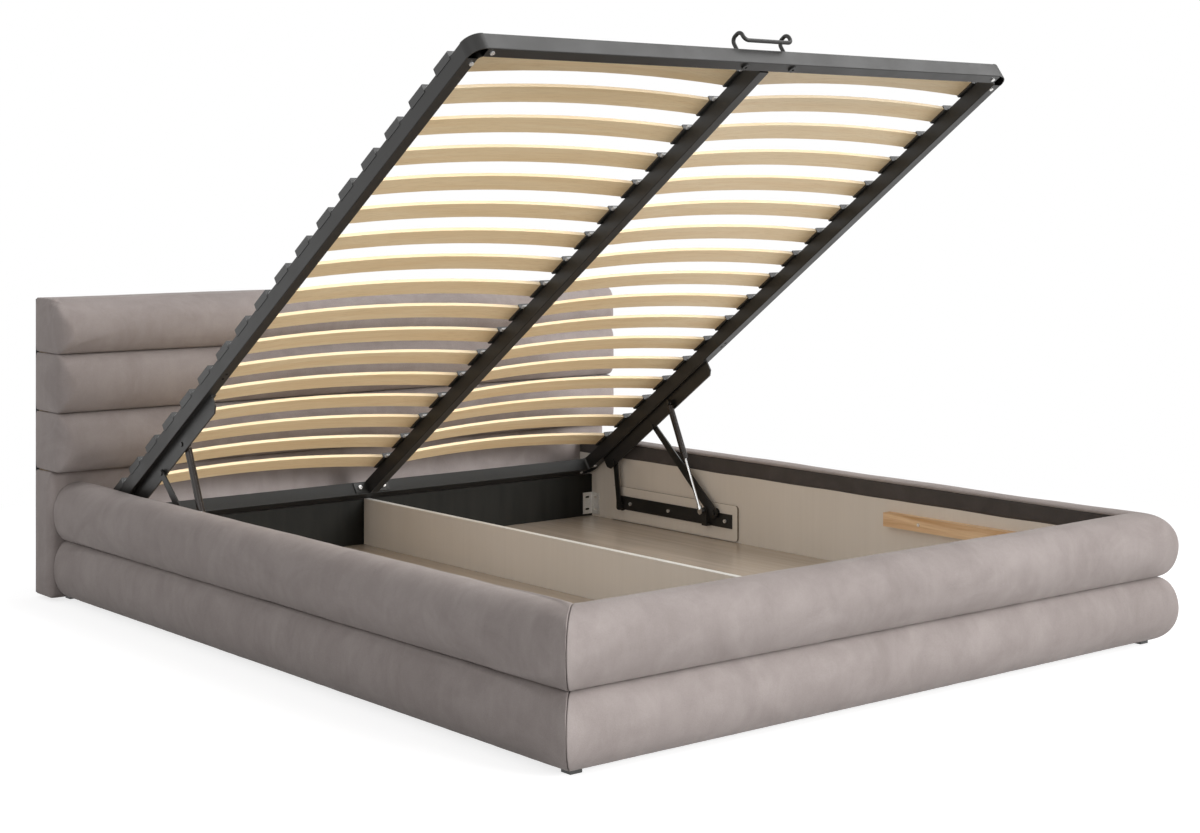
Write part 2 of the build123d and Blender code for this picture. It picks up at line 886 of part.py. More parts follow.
# Slat holders on the side tubes, each with a lip over the outer face and a pocket
pocket_width = slat_width + 2 * pocket_clearance
with BuildPart() as side_slat_holders:
    holder_outer = frame_width / 2 + side_holder_lip
    for along in slat_middles:
        with BuildSketch(across_frame(along - holder_length / 2)) as holder_face:
            for sign in sides.values():
                with Locations((sign * (holder_outer - side_holder_width / 2), tube_height)):
                    Rectangle(side_holder_width, holder_height, align=(Align.CENTER, Align.MIN))
            fillet(holder_face.vertices().group_by(Axis.Y)[-1], radius=holder_edge)
            for sign in sides.values():
                with Locations((sign * (holder_outer - side_holder_lip / 2), tube_height)):
                    Rectangle(side_holder_lip, 2 * side_holder_lip_height)
    extrude(amount=holder_length)
    for along in slat_middles:
        for sign in sides.values():
            with BuildSketch(across_frame(along - pocket_width / 2)):
                with BuildLine():
                    slat_outline(sign, pocket_clearance)
                make_face()
    extrude(amount=pocket_width, mode=Mode.SUBTRACT)
save(side_slat_holders, "side_slat_holders")

# Double slat holders on the centre beam
with BuildPart() as centre_slat_holders:
    for along in slat_middles:
        with BuildSketch(across_frame(along - holder_length / 2)) as holder_face:
            with Locations((0, tube_height)):
                Rectangle(centre_holder_width, holder_height, align=(Align.CENTER, Align.MIN))
            fillet(holder_face.vertices().group_by(Axis.Y)[-1], radius=holder_edge)
    extrude(amount=holder_length)
    for along in slat_middles:
        for sign in sides.values():
            with BuildSketch(across_frame(along - pocket_width / 2)):
                with BuildLine():
                    slat_outline(sign, pocket_clearance)
                make_face()
    extrude(amount=pocket_width, mode=Mode.SUBTRACT)
save(centre_slat_holders, "centre_slat_holders")

# Tongues that close the holders on their foot side
with BuildPart() as slat_tongues:
    with BuildSketch(lift_plane.offset(tube_height)):
        tongue_places = (slat_inner_end + tongue_width / 2, (frame_width - tube_width) / 2)
        for along in slat_middles:
            tongue_y = -along - (holder_length + tongue_length) / 2
            for across in tongue_places:
                with Locations((-across, tongue_y), (across, tongue_y)):
                    Rectangle(tongue_width, tongue_length)
    extrude(amount=tongue_height)
save(slat_tongues, "slat_tongues")

# Frame brackets: an upright plate with the pins' holes and a flange under the tube
gas_top = frame_point(gas_top_along, gas_top_drop)
bracket_pins = (
    (rear_top_along, -rear_top_drop),
    (front_top_along, -front_top_drop),
    (gas_top_along, -gas_top_drop),
)
for side, sign in sides.items():
    with BuildPart() as frame_bracket:
        plate_x = sign * (outer_width / 2 - plate_inset)
        flange_x = sign * (outer_width / 2 - plate_face_inset)
        flange_reach = tube_inset + tube_width - plate_face_inset
        with BuildSketch(beside_frame(plate_x)) as bracket_face:
            with Locations((plate_start, 0)):
                Rectangle(plate_end - plate_start, plate_depth, align=(Align.MIN, Align.MAX))
            chamfer(bracket_face.vertices().group_by(Axis.Y)[0], length=plate_chamfer)
            with Locations(*bracket_pins):
                Circle(frame_pin_radius + running_clearance, mode=Mode.SUBTRACT)
        extrude(amount=sign * plate_thickness)
        with BuildSketch(beside_frame(flange_x)):
            with Locations((plate_start, 0)):
                Rectangle(plate_end - plate_start, flange_thickness, align=(Align.MIN, Align.MAX))
        extrude(amount=sign * flange_reach)
    save(frame_bracket, f"{side}_frame_bracket")

# Pins through the frame brackets: a collar beside each link's end, and the gas springs' pins
with BuildPart() as frame_pivot_pins:
    collar_length = plate_gap - open_pin_gap
    gas_pin_length = gas_gap + cylinder_radius + gas_eye_width / 2 + side_play + pin_head_height
    gas_collar_length = gas_gap + cylinder_radius - gas_eye_width / 2 - side_play
    for sign in sides.values():
        for point in (rear_top, front_top):
            with BuildSketch(side_plane(sign, plate_inset)):
                with Locations(point):
                    Circle(frame_pin_collar_radius)
            extrude(amount=sign * collar_length)
            with BuildSketch(side_plane(sign, plate_inset)):
                with Locations(point):
                    Circle(frame_pin_radius)
            extrude(amount=-sign * (plate_thickness + pin_head_height))
            with BuildSketch(side_plane(sign, plate_face_inset)):
                with Locations(point):
                    Circle(pin_head_radius)
            extrude(amount=-sign * pin_head_height)
        with BuildSketch(side_plane(sign, plate_inset)):
            with Locations(gas_top):
                Circle(frame_pin_collar_radius)
        extrude(amount=sign * gas_pin_tail)
        with BuildSketch(side_plane(sign, plate_inset)):
            with Locations(gas_top):
                Circle(frame_pin_radius)
        extrude(amount=-sign * (plate_thickness + gas_pin_length))
        with BuildSketch(side_plane(sign, plate_face_inset)):
            with Locations(gas_top):
                Circle(gas_collar_radius)
        extrude(amount=-sign * gas_collar_length)
        with BuildSketch(side_plane(sign, gas_inset + gas_eye_width / 2 + side_play)):
            with Locations(gas_top):
                Circle(gas_collar_radius)
        extrude(amount=-sign * pin_head_height)
save(frame_pivot_pins, "frame_pivot_pins")

# Gas springs: a cylinder that hangs on the frame and a rod that slides in it
gas_length = math.dist(gas_top, gas_base)
cylinder_end = gas_length - rod_travel - rod_end_length - rod_end_gap
rod_start = cylinder_end - rod_overlap
bore_start = rod_start - rod_travel - bore_end_gap
for side, sign in sides.items():
    gas_x = sign * (outer_width / 2 - gas_inset)
    with BuildPart() as gas_cylinder:
        with BuildSketch(plane_along(gas_top, gas_base, gas_x, gas_neck_length)):
            Circle(cylinder_radius)
        extrude(amount=cylinder_end - gas_neck_length)
        with BuildSketch(plane_along(gas_top, gas_base, gas_x, gas_eye_radius / 2)):
            Circle(gas_eye_width / 2)
        extrude(amount=gas_neck_length)
        with BuildSketch(side_plane(sign, gas_inset - gas_eye_width / 2)):
            with Locations(gas_top):
                Circle(gas_eye_radius)
        extrude(amount=-sign * gas_eye_width)
        with BuildSketch(side_plane(sign, gas_inset - gas_eye_width)):
            with Locations(gas_top):
                Circle(frame_pin_radius + running_clearance)
        extrude(amount=-sign * 2 * gas_eye_width, mode=Mode.SUBTRACT)
        with BuildSketch(plane_along(gas_top, gas_base, gas_x, bore_start)):
            Circle(rod_radius + running_clearance)
        extrude(amount=cylinder_end - bore_start + overrun, mode=Mode.SUBTRACT)
    save(gas_cylinder, f"{side}_gas_cylinder")

    with BuildPart() as gas_rod:
        with BuildSketch(plane_along(gas_top, gas_base, gas_x, rod_start)):
            Circle(rod_radius)
        extrude(amount=gas_length - rod_start)
        with BuildSketch(plane_along(gas_top, gas_base, gas_x, gas_length - rod_end_length)):
            Circle(rod_end_radius)
        extrude(amount=rod_end_length - gas_eye_radius / 2)
        with BuildSketch(side_plane(sign, gas_inset - gas_eye_width / 2)):
            with Locations(gas_base):
                Circle(gas_eye_radius)
        extrude(amount=-sign * gas_eye_width)
        with BuildSketch(side_plane(sign, stud_end_inset + 2 * stud_gap)):
            with Locations(gas_base):
                Circle(gas_collar_radius)
        extrude(amount=-sign * (gas_inset - stud_end_inset - 2 * stud_gap))
    save(gas_rod, f"{side}_gas_rod")

# Mattress retainer: two legs on the foot tube that lean out and carry a crossbar
with BuildPart() as mattress_retainer:
    leg_along = frame_length - tube_width / 2
    bar_along = frame_length + foot_clearance - flap_thickness - retainer_clearance - retainer_radius
    hoop_top = tube_height + retainer_top
    bar_up = hoop_top - retainer_drop
    retainer_bend = retainer_bend_share * min(bar_along - leg_along, retainer_drop)
    retainer_corner = retainer_corner_share * retainer_drop
    with BuildLine(lift_plane) as hoop:
        FilletPolyline(
            (-retainer_leg_offset, -leg_along, tube_height),
            (-retainer_leg_offset, -leg_along, hoop_top),
            (-retainer_leg_offset, -bar_along, hoop_top),
            (-retainer_leg_offset, -bar_along, bar_up),
            (retainer_leg_offset, -bar_along, bar_up),
            (retainer_leg_offset, -bar_along, hoop_top),
            (retainer_leg_offset, -leg_along, hoop_top),
            (retainer_leg_offset, -leg_along, tube_height),
            radius=(
                retainer_bend,
                retainer_bend,
                retainer_corner,
                retainer_corner,
                retainer_bend,
                retainer_bend,
            ),
        )
    with BuildSketch(Plane(origin=hoop.line @ 0, z_dir=hoop.line % 0)):
        Circle(retainer_radius)
    sweep(path=hoop.line)
save(mattress_retainer, "mattress_retainer")

with BuildPart() as retainer_bolts:
    with BuildSketch(lift_plane):
        with Locations((-retainer_leg_offset, -leg_along), (retainer_leg_offset, -leg_along)):
            Circle(retainer_bolt_radius)
    extrude(amount=-retainer_bolt_height)
    with BuildSketch(lift_plane.offset(-retainer_bolt_height)):
        with Locations((-retainer_leg_offset, -leg_along), (retainer_leg_offset, -leg_along)):
            Circle(retainer_bolt_bore)
    extrude(amount=retainer_bolt_bore_depth, mode=Mode.SUBTRACT)
save(retainer_bolts, "retainer_bolts")

# Rivets in the tubes' lower faces beside each corner piece, clear of the battens
with BuildPart() as frame_rivets:
    rivet_x = inner_width / 2 - batten_thickness - rivet_batten_gap - rivet_radius
    end_rivet_x = frame_width / 2 - corner_radius - rivet_inset
    side_rivet_along = corner_radius + rivet_inset
    with BuildSketch(lift_plane):
        for sign in sides.values():
            with Locations(
                (sign * rivet_x, -side_rivet_along),
                (sign * rivet_x, -frame_length + side_rivet_along),
                (sign * end_rivet_x, -tube_width / 2),
                (sign * end_rivet_x, -frame_length + tube_width / 2),
            ):
                Circle(rivet_radius)
    extrude(amount=-rivet_height)
save(frame_rivets, "frame_rivets")
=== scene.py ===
import math

import bmesh
import bpy
from mathutils import Matrix, Vector, noise


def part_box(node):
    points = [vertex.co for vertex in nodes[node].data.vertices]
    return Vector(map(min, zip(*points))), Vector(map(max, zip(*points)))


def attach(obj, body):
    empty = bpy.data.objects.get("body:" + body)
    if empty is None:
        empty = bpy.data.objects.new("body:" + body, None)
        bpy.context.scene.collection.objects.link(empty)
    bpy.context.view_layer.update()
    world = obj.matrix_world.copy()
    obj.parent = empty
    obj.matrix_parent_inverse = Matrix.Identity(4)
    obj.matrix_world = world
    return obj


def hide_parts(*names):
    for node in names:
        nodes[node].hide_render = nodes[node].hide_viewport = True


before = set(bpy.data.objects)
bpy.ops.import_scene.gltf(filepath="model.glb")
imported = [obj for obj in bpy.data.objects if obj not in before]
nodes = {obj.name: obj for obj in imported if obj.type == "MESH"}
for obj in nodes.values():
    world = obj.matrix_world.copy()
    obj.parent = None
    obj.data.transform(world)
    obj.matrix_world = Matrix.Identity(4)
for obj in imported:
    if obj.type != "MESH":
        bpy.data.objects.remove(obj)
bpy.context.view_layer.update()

scene = bpy.context.scene

# Camera. It stands level off the bed's left foot corner, a little over a metre up, with a long
# lens, and its shift frames the bed low in the picture.
lens_data = bpy.data.cameras.new("camera")
lens_data.sensor_width = 36
lens_data.lens = 61.75
lens_data.shift_y = -0.1863
lens_data.clip_end = 100
camera = bpy.data.objects.new("camera", lens_data)
camera.location = (-3.1176, -3.8963, 1.0319)
camera.rotation_euler = (math.radians(90), 0, math.radians(-39.324))
scene.collection.objects.link(camera)
scene.camera = camera

# Studio. A plain white floor that keeps the bed's shadow and turns to plain white further out,
# an even white room, a wide soft light in front of the foot, another high on the right and a
# weak one on the left.
FLOOR_RADIUS = 30
FLOOR_GREY = 0.52
FLOOR_LIFT = 0.76
SHADOW_REACH = 1.6
WHITE_REACH = 2.6
ROOM_STRENGTH = 0.43
LAMP_DISTANCE = 8
scene.view_settings.view_transform = "Standard"


def worked_out(tree, how, first, second):
    """A sum node over two values, each another node's output or a number."""
    sum_node = tree.nodes.new("ShaderNodeMath")
    sum_node.operation = how
    for socket, value in zip(sum_node.inputs, (first, second)):
        if isinstance(value, float):
            socket.default_value = value
        else:
            tree.links.new(value, socket)
    return sum_node.outputs[0]


floor_mesh = bpy.data.meshes.new("studio_floor")
floor_shape = bmesh.new()
bmesh.ops.create_circle(floor_shape, cap_ends=True, segments=96, radius=FLOOR_RADIUS)
floor_shape.to_mesh(floor_mesh)
floor_shape.free()
studio_floor = bpy.data.objects.new("studio_floor", floor_mesh)
scene.collection.objects.link(studio_floor)

floor_paint = bpy.data.materials.new("studio_floor")
floor_paint.use_nodes = True
floor_tree = floor_paint.node_tree
floor_tree.nodes.clear()
floor_out = floor_tree.nodes.new("ShaderNodeOutputMaterial")
floor_matt = floor_tree.nodes.new("ShaderNodeBsdfDiffuse")
floor_matt.inputs["Color"].default_value = (FLOOR_GREY, FLOOR_GREY, FLOOR_GREY, 1)
floor_lift = floor_tree.nodes.new("ShaderNodeEmission")
floor_white = floor_tree.nodes.new("ShaderNodeEmission")
floor_path = floor_tree.nodes.new("ShaderNodeLightPath")
floor_sum = floor_tree.nodes.new("ShaderNodeAddShader")
floor_mix = floor_tree.nodes.new("ShaderNodeMixShader")
floor_place = floor_tree.nodes.new("ShaderNodeTexCoord")
floor_reach = floor_tree.nodes.new("ShaderNodeVectorMath")
floor_reach.operation = "LENGTH"
floor_fade = floor_tree.nodes.new("ShaderNodeMapRange")
floor_fade.inputs["From Min"].default_value = SHADOW_REACH
floor_fade.inputs["From Max"].default_value = WHITE_REACH
floor_tree.links.new(floor_place.outputs["Object"], floor_reach.inputs[0])
floor_tree.links.new(floor_reach.outputs["Value"], floor_fade.inputs["Value"])
floor_seen = floor_path.outputs["Is Camera Ray"]
floor_far = worked_out(floor_tree, "MULTIPLY", floor_fade.outputs["Result"], floor_seen)
floor_shown = worked_out(floor_tree, "MAXIMUM", floor_seen, floor_path.outputs["Is Glossy Ray"])
floor_share = worked_out(floor_tree, "MULTIPLY", floor_shown, FLOOR_LIFT)
floor_tree.links.new(floor_share, floor_lift.inputs["Strength"])
floor_tree.links.new(floor_matt.outputs[0], floor_sum.inputs[0])
floor_tree.links.new(floor_lift.outputs[0], floor_sum.inputs[1])
floor_tree.links.new(floor_far, floor_mix.inputs["Fac"])
floor_tree.links.new(floor_sum.outputs[0], floor_mix.inputs[1])
floor_tree.links.new(floor_white.outputs[0], floor_mix.inputs[2])
floor_tree.links.new(floor_mix.outputs[0], floor_out.inputs["Surface"])
floor_mesh.materials.append(floor_paint)

room = bpy.data.worlds.new("room")
room.use_nodes = True
room_tree = room.node_tree
room_light = room_tree.nodes["Background"]
room_seen = room_tree.nodes.new("ShaderNodeBackground")
room_path = room_tree.nodes.new("ShaderNodeLightPath")
room_mix = room_tree.nodes.new("ShaderNodeMixShader")
room_light.inputs["Color"].default_value = (1, 1, 1, 1)
room_light.inputs["Strength"].default_value = ROOM_STRENGTH
room_seen.inputs["Color"].default_value = (1, 1, 1, 1)
room_seen.inputs["Strength"].default_value = 1.0
room_glossy = worked_out(
    room_tree, "MAXIMUM", room_path.outputs["Is Camera Ray"], room_path.outputs["Is Glossy Ray"]
)
room_clear = worked_out(room_tree, "MAXIMUM", room_glossy, room_path.outputs["Is Transmission Ray"])
room_tree.links.new(room_clear, room_mix.inputs["Fac"])
room_tree.links.new(room_light.outputs[0], room_mix.inputs[1])
room_tree.links.new(room_seen.outputs[0], room_mix.inputs[2])
room_tree.links.new(room_mix.outputs[0], room_tree.nodes["World Output"].inputs["Surface"])
scene.world = room


def far_light(name, source, spread, strength):
    """An even light from that direction, its source that many degrees wide."""
    lamp_data = bpy.data.lights.new(name, "SUN")
    lamp_data.angle = math.radians(spread)
    lamp_data.energy = strength
    lamp = bpy.data.objects.new(name, lamp_data)
    lamp.location = Vector(source).normalized() * LAMP_DISTANCE
    lamp.rotation_euler = Vector(source).to_track_quat("Z", "Y").to_euler()
    scene.collection.objects.link(lamp)


far_light("foot_light", (0.3, -1.0, 0.36), 24, 2.35)
far_light("top_light", (0.62, -0.2, 0.75), 36, 0.85)
far_light("left_light", (-1.0, -0.3, 0.5), 44, 0.36)

# Boards of the box. The two sides, the foot and the centre divider are chipboard with a beige
# laminate that has a faint upright grain, the floor is a thinner board of the same finish.


def finish(name, roughness, metallic=0.0, **sockets):
    """A material with a plain surface shader, ready for its pattern."""
    made = bpy.data.materials.new(name)
    made.use_nodes = True
    shader = made.node_tree.nodes["Principled BSDF"]
    shader.inputs["Roughness"].default_value = roughness
    shader.inputs["Metallic"].default_value = metallic
    for socket, value in sockets.items():
        shader.inputs[socket.replace("_", " ")].default_value = value
    return made


def shader_of(material):
    return material.node_tree.nodes["Principled BSDF"]


def pattern(material, stretch, detail=4.0, rough=0.55, warp=0.0):
    """Cloudy pattern, stretched in each direction, as a value from 0 to 1."""
    tree = material.node_tree
    place = tree.nodes.new("ShaderNodeTexCoord")
    mapping = tree.nodes.new("ShaderNodeMapping")
    mapping.inputs["Scale"].default_value = stretch
    cloud = tree.nodes.new("ShaderNodeTexNoise")
    cloud.inputs["Scale"].default_value = 1.0
    cloud.inputs["Detail"].default_value = detail
    cloud.inputs["Roughness"].default_value = rough
    cloud.inputs["Distortion"].default_value = warp
    tree.links.new(place.outputs["Object"], mapping.inputs["Vector"])
    tree.links.new(mapping.outputs["Vector"], cloud.inputs["Vector"])
    return cloud.outputs["Fac"]


def between(material, value, low, high, start=0.3, end=0.7):
    """A number that goes from low to high as value goes from start to end."""
    tree = material.node_tree
    ranged = tree.nodes.new("ShaderNodeMapRange")
    ranged.inputs["From Min"].default_value = start
    ranged.inputs["From Max"].default_value = end
    ranged.inputs["To Min"].default_value = low
    ranged.inputs["To Max"].default_value = high
    tree.links.new(value, ranged.inputs["Value"])
    return ranged.outputs["Result"]


def tones(material, value, stops):
    """Colours along value; stops are (place, colour) pairs."""
    tree = material.node_tree
    ramp = tree.nodes.new("ShaderNodeValToRGB")
    ramp.color_ramp.elements[0].position, first = stops[0]
    ramp.color_ramp.elements[0].color = (*first, 1)
    ramp.color_ramp.elements[1].position, last = stops[-1]
    ramp.color_ramp.elements[1].color = (*last, 1)
    for place, colour in stops[1:-1]:
        ramp.color_ramp.elements.new(place).color = (*colour, 1)
    tree.links.new(value, ramp.inputs["Fac"])
    return ramp.outputs["Color"]


def laid_over(material, under, over, amount, mode="MULTIPLY"):
    """One colour laid over another."""
    tree = material.node_tree
    mix = tree.nodes.new("ShaderNodeMix")
    mix.data_type = "RGBA"
    mix.blend_type = mode
    mix.inputs["Factor"].default_value = amount
    tree.links.new(under, mix.inputs["A"])
    tree.links.new(over, mix.inputs["B"])
    return mix.outputs["Result"]


def coloured(material, colour):
    material.node_tree.links.new(colour, shader_of(material).inputs["Base Color"])


def roughened(material, value):
    material.node_tree.links.new(value, shader_of(material).inputs["Roughness"])


def raised(material, height, depth, strength=1.0, under=None):
    """Relief of that depth in metres, over the relief under it."""
    tree = material.node_tree
    bump = tree.nodes.new("ShaderNodeBump")
    bump.inputs["Distance"].default_value = depth
    bump.inputs["Strength"].default_value = strength
    tree.links.new(height, bump.inputs["Height"])
    if under is not None:
        tree.links.new(under, bump.inputs["Normal"])
    tree.links.new(bump.outputs["Normal"], shader_of(material).inputs["Normal"])
    return bump.outputs["Normal"]


def dress(material, *names):
    """Gives CAD nodes their material."""
    for name in names:
        mesh = nodes[name].data
        mesh.materials.clear()
        mesh.materials.append(material)


def laminate_finish(name, dark, light, stretch, gloss):
    made = finish(name, gloss)
    grain = pattern(made, stretch, detail=5.0, rough=0.6, warp=0.3)
    clouds = pattern(made, (3.0, 3.0, 3.0), detail=2.0)
    base = tones(made, grain, ((0.3, dark), (0.7, light)))
    shade = tones(made, clouds, ((0.25, (0.93, 0.93, 0.92)), (0.75, (1, 1, 1))))
    coloured(made, laid_over(made, base, shade, 1.0))
    roughened(made, between(made, grain, gloss - 0.05, gloss + 0.07))
    raised(made, grain, 0.0001, 0.3)
    return made


def core_and_gap_shade_edges(material, colour):
    """Shows a darker board core on the faces that don't look across the bed, partly painted gap
    shade.
    """
    tree = material.node_tree
    place = tree.nodes.new("ShaderNodeTexCoord")
    parts = tree.nodes.new("ShaderNodeSeparateXYZ")
    across = tree.nodes.new("ShaderNodeMath")
    across.operation = "ABSOLUTE"
    mix = tree.nodes.new("ShaderNodeMix")
    mix.data_type = "RGBA"
    mix.inputs["A"].default_value = (*colour, 1)
    face = shader_of(material).inputs["Base Color"].links[0].from_socket
    tree.links.new(place.outputs["Normal"], parts.inputs[0])
    tree.links.new(parts.outputs["X"], across.inputs[0])
    tree.links.new(across.outputs[0], mix.inputs["Factor"])
    tree.links.new(face, mix.inputs["B"])
    coloured(material, mix.outputs["Result"])


BEIGE_DARK = (0.79, 0.735, 0.67)
BEIGE_LIGHT = (0.815, 0.76, 0.695)
UPRIGHT_GRAIN = (70, 70, 2.2)
laminate = laminate_finish("laminate", BEIGE_DARK, BEIGE_LIGHT, UPRIGHT_GRAIN, 0.4)
backing_laminate = laminate_finish(
    "backing_laminate", BEIGE_DARK, BEIGE_LIGHT, UPRIGHT_GRAIN, 0.4
)
# Edge colour darker than the bare core: the sawn core plus painted shade of the gaps round the
# boards.
core_and_gap_shade_edges(backing_laminate, (0.2, 0.16, 0.12))
floor_laminate = laminate_finish(
    "floor_laminate", (0.5, 0.425, 0.35), (0.525, 0.45, 0.375), (60, 2.0, 60), 0.2
)
dress(laminate, "left_side_board", "right_side_board", "foot_board", "centre_divider")
dress(backing_laminate, "mechanism_backing_boards")
dress(floor_laminate, "floor_panel_left", "floor_panel_right")

# Inner head board, black, with a dull paper finish, and the divider's white edge band.
black_board = finish("black_board", 0.6, Specular_IOR_Level=0.15)
board_fibre = pattern(black_board, (40, 40, 6), detail=6.0)
fibre_tones = ((0.3, (0.008, 0.008, 0.0065)), (0.7, (0.016, 0.0155, 0.013)))
coloured(black_board, tones(black_board, board_fibre, fibre_tones))
roughened(black_board, between(black_board, board_fibre, 0.5, 0.68))
raised(black_board, board_fibre, 0.0002, 0.4)
dress(black_board, "inner_head_board")

edge_band = finish("edge_band", 0.4)
band_wear = pattern(edge_band, (18, 6, 18), detail=3.0)
band_tones = ((0.3, (0.74, 0.72, 0.68)), (0.7, (0.86, 0.85, 0.82)))
coloured(edge_band, tones(edge_band, band_wear, band_tones))
roughened(edge_band, between(edge_band, band_wear, 0.34, 0.5))
dress(edge_band, "divider_edge_band")

# Planed pine battens and cleats, and the raw chipboard core of the headboard.


def timber_finish(name, early, late, grain_stretch, pore_stretch, gloss):
    """Sawn or planed wood, with growth lines and pores along one direction."""
    made = finish(name, gloss)
    growth = pattern(made, grain_stretch, detail=3.0, rough=0.5, warp=1.2)
    pores = pattern(made, pore_stretch, detail=4.0, rough=0.7)
    middle = tuple((a + b) / 2 for a, b in zip(early, late))
    base = tones(made, growth, ((0.32, late), (0.5, middle), (0.66, early)))
    flecks = tones(made, pores, ((0.3, (0.84, 0.8, 0.74)), (0.52, (1, 1, 1))))
    coloured(made, laid_over(made, base, flecks, 0.75))
    roughened(made, between(made, pores, gloss + 0.1, gloss - 0.05))
    raised(made, pores, 0.00015, 0.5)
    return made


pine = timber_finish(
    "pine", (0.92, 0.66, 0.41), (0.66, 0.38, 0.18), (34, 3.0, 34), (300, 12, 300), 0.55
)
dress(pine, "frame_battens", "floor_cleats")

chipboard = finish("chipboard", 0.8)
chips = pattern(chipboard, (150, 150, 150), detail=3.0, rough=0.7)
chip_tones = ((0.3, (0.3, 0.2, 0.12)), (0.5, (0.47, 0.35, 0.22)), (0.7, (0.6, 0.48, 0.33)))
coloured(chipboard, tones(chipboard, chips, chip_tones))
raised(chipboard, chips, 0.0005, 0.6)
dress(chipboard, "headboard_core")

# Padded rolls. Foam on the boards under velvet, an upper and a lower roll on each side and on
# the foot, sewn to each other in a mitre at the corners and stapled under the box.
OUTER_HALF = 0.896
FOOT_Y = -1.0905
SIDE_LENGTH = 2.0802
FOOT_LENGTH = 1.792
BOARD_INSET = 0.072
ROLL_LOW = 0.008
ROLL_SPLIT = 0.153
BOARD_TOP = 0.288
LOWER_CORNERS = (
    (BOARD_INSET, ROLL_SPLIT, 0, 0),
    (0.038, 0.0805, 0.038, 0.0725),
    (0.052, 0.0805, 0.052, 0.0725),
    (BOARD_INSET, ROLL_LOW, 0, 0),
)
UPPER_CORNERS = (
    (0.062, BOARD_TOP, 0.030, 0.010),
    (0.062, 0.2255, 0.062, 0.0725),
    (0.038, 0.2255, 0.038, 0.0725),
    (BOARD_INSET, ROLL_SPLIT, 0, 0),
)
ROLL_FULLNESS = 0.97
ARC_STEPS = 14
JOIN = 0.0002
MITRE_GAP = 0.0004
CAP_INSET = 0.002


def section_face(shape, corners, fullness=1.0):
    """A closed outline in the YZ plane from a circle whose quarters are drawn apart, each
    about its own centre with its own two radii: rear top, front top, front low, rear low.
    A fullness under 1 swells the quarters towards their corners."""
    ring = bmesh.ops.create_circle(shape, cap_ends=True, segments=4 * ARC_STEPS, radius=1)["verts"]
    for point in ring:
        turn = math.degrees(math.atan2(point.co.y, point.co.x)) % 360
        if turn < 90 - 0.1:
            quarter = 0
        elif turn < 180 + 0.1:
            quarter = 1
        elif turn < 270 + 0.1:
            quarter = 2
        else:
            quarter = 3
        depth, height, reach, rise = corners[quarter]
        out = math.copysign(abs(point.co.x) ** fullness, point.co.x)
        up = math.copysign(abs(point.co.y) ** fullness, point.co.y)
        point.co = (0, depth + out * reach, height + up * rise)
    bmesh.ops.remove_doubles(shape, verts=shape.verts, dist=JOIN)


def notch(shape, depth, height):
    """Steps the outline in round the board's top edge: the rear low point gets a new
    neighbour under the flange."""
    low = min(shape.verts, key=lambda point: (point.co.z, -point.co.y))
    last = max(shape.verts, key=lambda point: (point.co.y, -point.co.z))
    edge = next(edge for edge in low.link_edges if edge.other_vert(low) == last)
    new = bmesh.ops.subdivide_edges(shape, edges=[edge], cuts=1)["geom_inner"]
    point = next(item for item in new if isinstance(item, bmesh.types.BMVert))
    point.co = (0, depth, height)


def drawn_out(shape, length):
    """The outline drawn out along X to a closed bar."""
    pulled = bmesh.ops.extrude_face_region(shape, geom=list(shape.faces), use_keep_orig=True)["geom"]
    far = [item for item in pulled if isinstance(item, bmesh.types.BMVert)]
    bmesh.ops.translate(shape, verts=far, vec=(length, 0, 0))


def cut_off(shape, place, direction):
    """Cuts away what lies in front of a plane, and closes the cut."""
    geometry = list(shape.verts) + list(shape.edges) + list(shape.faces)
    bmesh.ops.bisect_plane(
        shape, geom=geometry, dist=1e-6, plane_co=place, plane_no=direction, clear_outer=True
    )
    rim = [edge for edge in shape.edges if edge.is_boundary]
    bmesh.ops.holes_fill(shape, edges=rim, sides=0)


def piece_from(shape, name):
    """A finished object from a bmesh, with its faces pointing outwards."""
    bmesh.ops.recalc_face_normals(shape, faces=shape.faces)
    mesh = bpy.data.meshes.new(name)
    shape.to_mesh(mesh)
    shape.free()
    made = bpy.data.objects.new(name, mesh)
    scene.collection.objects.link(made)
    return made


def settled(piece):
    """Applies the piece's modifiers to its mesh."""
    view = bpy.context.evaluated_depsgraph_get()
    old = piece.data
    mesh = bpy.data.meshes.new_from_object(piece.evaluated_get(view))
    piece.modifiers.clear()
    piece.data = mesh
    mesh.name = piece.name
    bpy.data.meshes.remove(old)


def remeshed(piece, cell):
    """Even cells over the whole pad, with their steps smoothed away."""
    cells = piece.modifiers.new("cells", "REMESH")
    cells.mode = "VOXEL"
    cells.voxel_size = cell
    cells.use_smooth_shade = True
    even = piece.modifiers.new("even", "SMOOTH")
    even.factor = 0.5
    even.iterations = 4
    settled(piece)


COVER_PRESSURE = 4.0
COVER_STEPS = 20


def swollen(pieces, holds, reach):
    """Blows each pad's cover up against its seams with a cloth simulation. holds tells which
    points are sewn or stapled, reach is how far a point may move."""
    starts = {}
    for piece in pieces:
        held = piece.vertex_groups.new(name="held")
        starts[piece.name] = [point.co.copy() for point in piece.data.vertices]
        fixed = [i for i, point in enumerate(starts[piece.name]) if holds(piece, point)]
        held.add(fixed, 1.0, "REPLACE")
        cloth = piece.modifiers.new("cover", "CLOTH")
        cloth.settings.quality = 4
        cloth.settings.vertex_group_mass = "held"
        cloth.settings.use_pressure = True
        cloth.settings.uniform_pressure_force = COVER_PRESSURE
        cloth.settings.effector_weights.gravity = 0
        cloth.settings.bending_stiffness = 2.0
        cloth.point_cache.frame_start = 1
        cloth.point_cache.frame_end = COVER_STEPS
    for step in range(1, COVER_STEPS + 1):
        scene.frame_set(step)
    for piece in pieces:
        settled(piece)
        for point, start in zip(piece.data.vertices, starts[piece.name]):
            move = point.co - start
            if move.length > reach:
                point.co = start + move * (reach / move.length)
    scene.frame_set(1)


